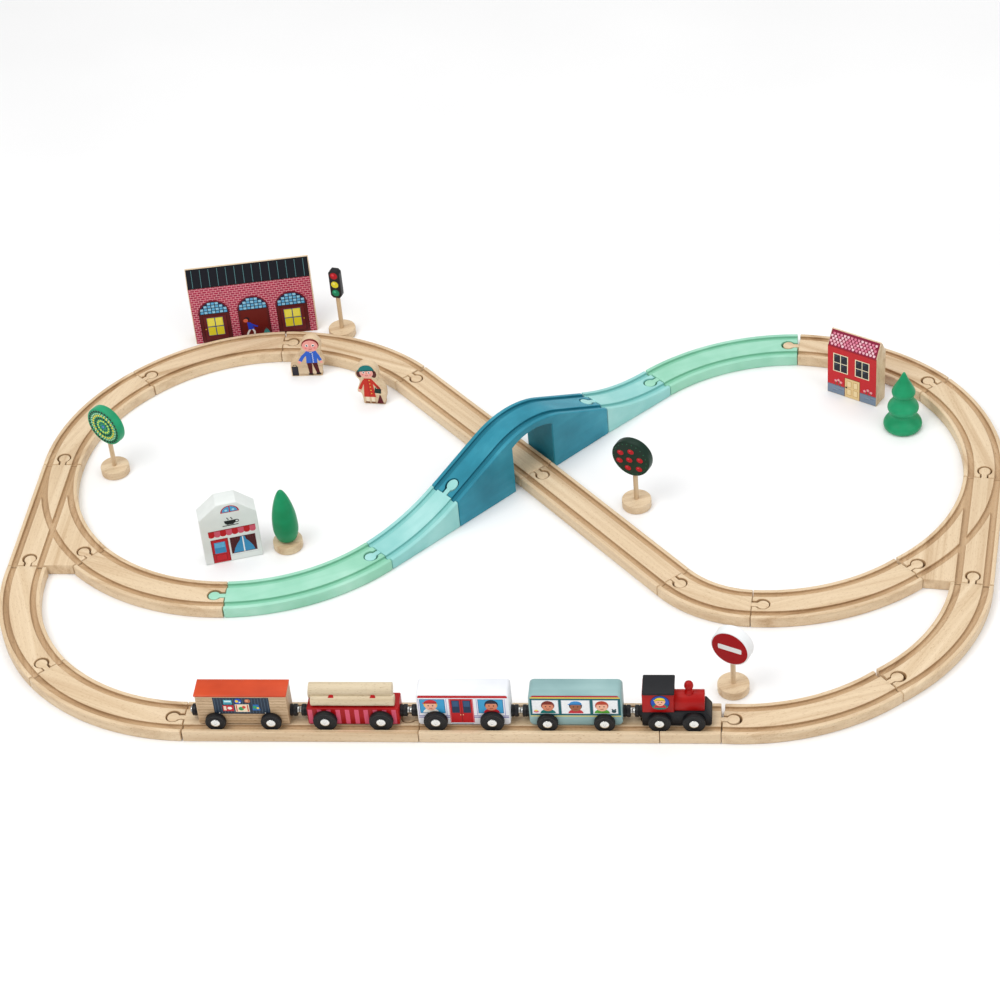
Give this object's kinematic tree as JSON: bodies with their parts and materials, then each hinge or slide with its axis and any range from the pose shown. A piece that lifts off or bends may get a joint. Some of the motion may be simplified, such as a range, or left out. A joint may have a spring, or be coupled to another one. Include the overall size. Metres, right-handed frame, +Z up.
{
  "type": "wooden train set",
  "caption": "Grooved wooden track laid as a figure eight over a bridge with a bypass, a loco with wagons, block buildings, trees, signs and figures.",
  "frame": {"origin": "centre of the set's footprint, on the floor the track lies on", "axes": "+X along the straight front run, from the last wagon towards the loco; +Y away from the front run, towards the station; +Z up"},
  "size_m": [0.974, 0.6548, 0.0912],
  "materials": {
    "beech": "satin, lacquered",
    "mint_paint": "satin paint",
    "sky_paint": "satin paint",
    "teal_paint": "satin paint",
    "wheel_black": "semi-gloss",
    "black_paint": "satin paint",
    "red_paint": "satin paint",
    "kiosk_wood": "satin, lacquered",
    "orange_paint": "satin paint",
    "log_wood": "bare",
    "white_paint": "satin paint",
    "grey_paint": "satin paint",
    "green_paint": "satin paint",
    "dark_green_paint": "satin paint",
    "station_print": "printed",
    "house_print": "printed",
    "cafe_print": "painted and printed",
    "figure_print": "printed front"
  },
  "bodies": {
    "front_track": {"straight_a": "beech", "straight_b": "beech", "adapter_c": "beech"},
    "loco": {"loco_chassis": "black_paint", "loco_body": "red_paint", "loco_roof": "black_paint"},
    "kiosk_wagon": {"kiosk_body": "kiosk_wood", "kiosk_roof": "orange_paint"},
    "log_wagon": {"log_body": "red_paint"},
    "logs": {"log_load": "log_wood"},
    "white_wagon": {"white_body": "white_paint"},
    "grey_wagon": {"grey_body": "grey_paint"},
    "loco_wheels_rear": {"loco_wheels_rear": "wheel_black"},
    "loco_wheels_front": {"loco_wheels_front": "wheel_black"},
    "grey_wheels_rear": {"grey_wheels_rear": "wheel_black"},
    "grey_wheels_front": {"grey_wheels_front": "wheel_black"},
    "white_wheels_rear": {"white_wheels_rear": "wheel_black"},
    "white_wheels_front": {"white_wheels_front": "wheel_black"},
    "log_wheels_rear": {"log_wheels_rear": "wheel_black"},
    "log_wheels_front": {"log_wheels_front": "wheel_black"},
    "kiosk_wheels_rear": {"kiosk_wheels_rear": "wheel_black"},
    "kiosk_wheels_front": {"kiosk_wheels_front": "wheel_black"},
    "curve_d_piece": {"curve_d": "beech"},
    "curve_e_piece": {"curve_e": "beech"},
    "switch_f_piece": {"switch_f": "beech"},
    "curve_g_piece": {"curve_g": "beech"},
    "curve_h_piece": {"curve_h": "beech"},
    "curve_i_piece": {"curve_i": "mint_paint"},
    "ramp_j_piece": {"ramp_j": "sky_paint"},
    "bridge_k_piece": {"bridge_k": "teal_paint"},
    "ramp_l_piece": {"ramp_l": "sky_paint"},
    "curve_m_piece": {"curve_m": "mint_paint"},
    "curve_n_piece": {"curve_n": "beech"},
    "switch_o_piece": {"switch_o": "beech"},
    "curve_p_piece": {"curve_p": "beech"},
    "curve_q_piece": {"curve_q": "beech"},
    "curve_r_piece": {"curve_r": "beech"},
    "straight_s_piece": {"straight_s": "beech"},
    "straight_t_piece": {"straight_t": "beech"},
    "curve_u_piece": {"curve_u": "beech"},
    "curve_v_piece": {"curve_v": "beech"},
    "curve_w_piece": {"curve_w": "beech"},
    "curve_x_piece": {"curve_x": "beech"},
    "station_block": {"station": "station_print"},
    "signal": {"signal_head": "black_paint", "signal_stand": "beech"},
    "man": {"figure_man": "figure_print"},
    "woman": {"figure_woman": "figure_print"},
    "bush_tree": {"bush_crown": "green_paint", "bush_stand": "beech"},
    "cafe_block": {"cafe": "cafe_print"},
    "pear_tree": {"pear_crown": "green_paint", "pear_base": "beech"},
    "house_block": {"house": "house_print"},
    "fir": {"fir_tree": "green_paint"},
    "apple_tree": {"apple_crown": "dark_green_paint", "apple_stand": "beech"},
    "stop_sign": {"stop_disc": "white_paint", "stop_stand": "beech"}
  },
  "joints": [
    {"name": "loco_roll", "type": "slide", "parent": "front_track", "child": "loco", "axis": [1, 0, 0], "range_m": [-0.02, 0.007]},
    {"name": "grey_roll", "type": "slide", "parent": "front_track", "child": "grey_wagon", "axis": [1, 0, 0], "range_m": [-0.02, 0.007]},
    {"name": "white_roll", "type": "slide", "parent": "front_track", "child": "white_wagon", "axis": [1, 0, 0], "range_m": [-0.02, 0.007]},
    {"name": "log_roll", "type": "slide", "parent": "front_track", "child": "log_wagon", "axis": [1, 0, 0], "range_m": [-0.02, 0.007]},
    {"name": "kiosk_roll", "type": "slide", "parent": "front_track", "child": "kiosk_wagon", "axis": [1, 0, 0], "range_m": [-0.02, 0.007]},
    {"name": "loco_rear_axle", "type": "hinge", "parent": "loco", "child": "loco_wheels_rear", "pos_m": [0.16031, -0.30684, 0.0196], "axis": [0, 1, 0], "continuous": true},
    {"name": "loco_front_axle", "type": "hinge", "parent": "loco", "child": "loco_wheels_front", "pos_m": [0.19091, -0.30684, 0.0196], "axis": [0, 1, 0], "continuous": true},
    {"name": "grey_rear_axle", "type": "hinge", "parent": "grey_wagon", "child": "grey_wheels_rear", "pos_m": [0.06041, -0.30684, 0.0188], "axis": [0, 1, 0], "continuous": true},
    {"name": "grey_front_axle", "type": "hinge", "parent": "grey_wagon", "child": "grey_wheels_front", "pos_m": [0.11141, -0.30684, 0.0188], "axis": [0, 1, 0], "continuous": true},
    {"name": "white_rear_axle", "type": "hinge", "parent": "white_wagon", "child": "white_wheels_rear", "pos_m": [-0.04009, -0.30684, 0.0202], "axis": [0, 1, 0], "continuous": true},
    {"name": "white_front_axle", "type": "hinge", "parent": "white_wagon", "child": "white_wheels_front", "pos_m": [0.01091, -0.30684, 0.0202], "axis": [0, 1, 0], "continuous": true},
    {"name": "log_rear_axle", "type": "hinge", "parent": "log_wagon", "child": "log_wheels_rear", "pos_m": [-0.14059, -0.30684, 0.0202], "axis": [0, 1, 0], "continuous": true},
    {"name": "log_front_axle", "type": "hinge", "parent": "log_wagon", "child": "log_wheels_front", "pos_m": [-0.08959, -0.30684, 0.0202], "axis": [0, 1, 0], "continuous": true},
    {"name": "kiosk_rear_axle", "type": "hinge", "parent": "kiosk_wagon", "child": "kiosk_wheels_rear", "pos_m": [-0.24109, -0.30684, 0.0188], "axis": [0, 1, 0], "continuous": true},
    {"name": "kiosk_front_axle", "type": "hinge", "parent": "kiosk_wagon", "child": "kiosk_wheels_front", "pos_m": [-0.19009, -0.30684, 0.0188], "axis": [0, 1, 0], "continuous": true},
    {"name": "log_lift", "type": "slide", "parent": "log_wagon", "child": "logs", "axis": [0, 0, 1], "range_m": [0, 0.03]},
    {"name": "curve_d_lift", "type": "slide", "parent": "front_track", "child": "curve_d_piece", "axis": [0, 0, 1], "range_m": [0, 0.03]},
    {"name": "curve_e_lift", "type": "slide", "parent": "front_track", "child": "curve_e_piece", "axis": [0, 0, 1], "range_m": [0, 0.03]},
    {"name": "switch_f_lift", "type": "slide", "parent": "front_track", "child": "switch_f_piece", "axis": [0, 0, 1], "range_m": [0, 0.03]},
    {"name": "curve_g_lift", "type": "slide", "parent": "front_track", "child": "curve_g_piece", "axis": [0, 0, 1], "range_m": [0, 0.03]},
    {"name": "curve_h_lift", "type": "slide", "parent": "front_track", "child": "curve_h_piece", "axis": [0, 0, 1], "range_m": [0, 0.03]},
    {"name": "curve_i_lift", "type": "slide", "parent": "front_track", "child": "curve_i_piece", "axis": [0, 0, 1], "range_m": [0, 0.03]},
    {"name": "ramp_j_lift", "type": "slide", "parent": "front_track", "child": "ramp_j_piece", "axis": [0, 0, 1], "range_m": [0, 0.03]},
    {"name": "bridge_k_lift", "type": "slide", "parent": "front_track", "child": "bridge_k_piece", "axis": [0, 0, 1], "range_m": [0, 0.03]},
    {"name": "ramp_l_lift", "type": "slide", "parent": "front_track", "child": "ramp_l_piece", "axis": [0, 0, 1], "range_m": [0, 0.03]},
    {"name": "curve_m_lift", "type": "slide", "parent": "front_track", "child": "curve_m_piece", "axis": [0, 0, 1], "range_m": [0, 0.03]},
    {"name": "curve_n_lift", "type": "slide", "parent": "front_track", "child": "curve_n_piece", "axis": [0, 0, 1], "range_m": [0, 0.03]},
    {"name": "switch_o_lift", "type": "slide", "parent": "front_track", "child": "switch_o_piece", "axis": [0, 0, 1], "range_m": [0, 0.03]},
    {"name": "curve_p_lift", "type": "slide", "parent": "front_track", "child": "curve_p_piece", "axis": [0, 0, 1], "range_m": [0, 0.03]},
    {"name": "curve_q_lift", "type": "slide", "parent": "front_track", "child": "curve_q_piece", "axis": [0, 0, 1], "range_m": [0, 0.03]},
    {"name": "curve_r_lift", "type": "slide", "parent": "front_track", "child": "curve_r_piece", "axis": [0, 0, 1], "range_m": [0, 0.03]},
    {"name": "straight_s_lift", "type": "slide", "parent": "front_track", "child": "straight_s_piece", "axis": [0, 0, 1], "range_m": [0, 0.03]},
    {"name": "straight_t_lift", "type": "slide", "parent": "front_track", "child": "straight_t_piece", "axis": [0, 0, 1], "range_m": [0, 0.03]},
    {"name": "curve_u_lift", "type": "slide", "parent": "front_track", "child": "curve_u_piece", "axis": [0, 0, 1], "range_m": [0, 0.03]},
    {"name": "curve_v_lift", "type": "slide", "parent": "front_track", "child": "curve_v_piece", "axis": [0, 0, 1], "range_m": [0, 0.03]},
    {"name": "curve_w_lift", "type": "slide", "parent": "front_track", "child": "curve_w_piece", "axis": [0, 0, 1], "range_m": [0, 0.03]},
    {"name": "curve_x_lift", "type": "slide", "parent": "front_track", "child": "curve_x_piece", "axis": [0, 0, 1], "range_m": [0, 0.03]},
    {"name": "station_block_lift", "type": "slide", "parent": "front_track", "child": "station_block", "axis": [0, 0, 1], "range_m": [0, 0.03]},
    {"name": "signal_lift", "type": "slide", "parent": "front_track", "child": "signal", "axis": [0, 0, 1], "range_m": [0, 0.03]},
    {"name": "man_lift", "type": "slide", "parent": "front_track", "child": "man", "axis": [0, 0, 1], "range_m": [0, 0.03]},
    {"name": "woman_lift", "type": "slide", "parent": "front_track", "child": "woman", "axis": [0, 0, 1], "range_m": [0, 0.03]},
    {"name": "bush_tree_lift", "type": "slide", "parent": "front_track", "child": "bush_tree", "axis": [0, 0, 1], "range_m": [0, 0.03]},
    {"name": "cafe_block_lift", "type": "slide", "parent": "front_track", "child": "cafe_block", "axis": [0, 0, 1], "range_m": [0, 0.03]},
    {"name": "pear_tree_lift", "type": "slide", "parent": "front_track", "child": "pear_tree", "axis": [0, 0, 1], "range_m": [0, 0.03]},
    {"name": "house_block_lift", "type": "slide", "parent": "front_track", "child": "house_block", "axis": [0, 0, 1], "range_m": [0, 0.03]},
    {"name": "fir_lift", "type": "slide", "parent": "front_track", "child": "fir", "axis": [0, 0, 1], "range_m": [0, 0.03]},
    {"name": "apple_tree_lift", "type": "slide", "parent": "front_track", "child": "apple_tree", "axis": [0, 0, 1], "range_m": [0, 0.03]},
    {"name": "stop_sign_lift", "type": "slide", "parent": "front_track", "child": "stop_sign", "axis": [0, 0, 1], "range_m": [0, 0.03]}
  ],
  "couplings": [
    {"joint": "grey_roll", "follows": "loco_roll", "ratio": 1},
    {"joint": "white_roll", "follows": "loco_roll", "ratio": 1},
    {"joint": "log_roll", "follows": "loco_roll", "ratio": 1},
    {"joint": "kiosk_roll", "follows": "loco_roll", "ratio": 1},
    {"joint": "loco_rear_axle", "follows": "loco_roll", "rad_per_m": 97.087},
    {"joint": "loco_front_axle", "follows": "loco_roll", "rad_per_m": 97.087},
    {"joint": "grey_rear_axle", "follows": "loco_roll", "rad_per_m": 105.26},
    {"joint": "grey_front_axle", "follows": "loco_roll", "rad_per_m": 105.26},
    {"joint": "white_rear_axle", "follows": "loco_roll", "rad_per_m": 91.743},
    {"joint": "white_front_axle", "follows": "loco_roll", "rad_per_m": 91.743},
    {"joint": "log_rear_axle", "follows": "loco_roll", "rad_per_m": 91.743},
    {"joint": "log_front_axle", "follows": "loco_roll", "rad_per_m": 91.743},
    {"joint": "kiosk_rear_axle", "follows": "loco_roll", "rad_per_m": 105.26},
    {"joint": "kiosk_front_axle", "follows": "loco_roll", "rad_per_m": 105.26}
  ]
}
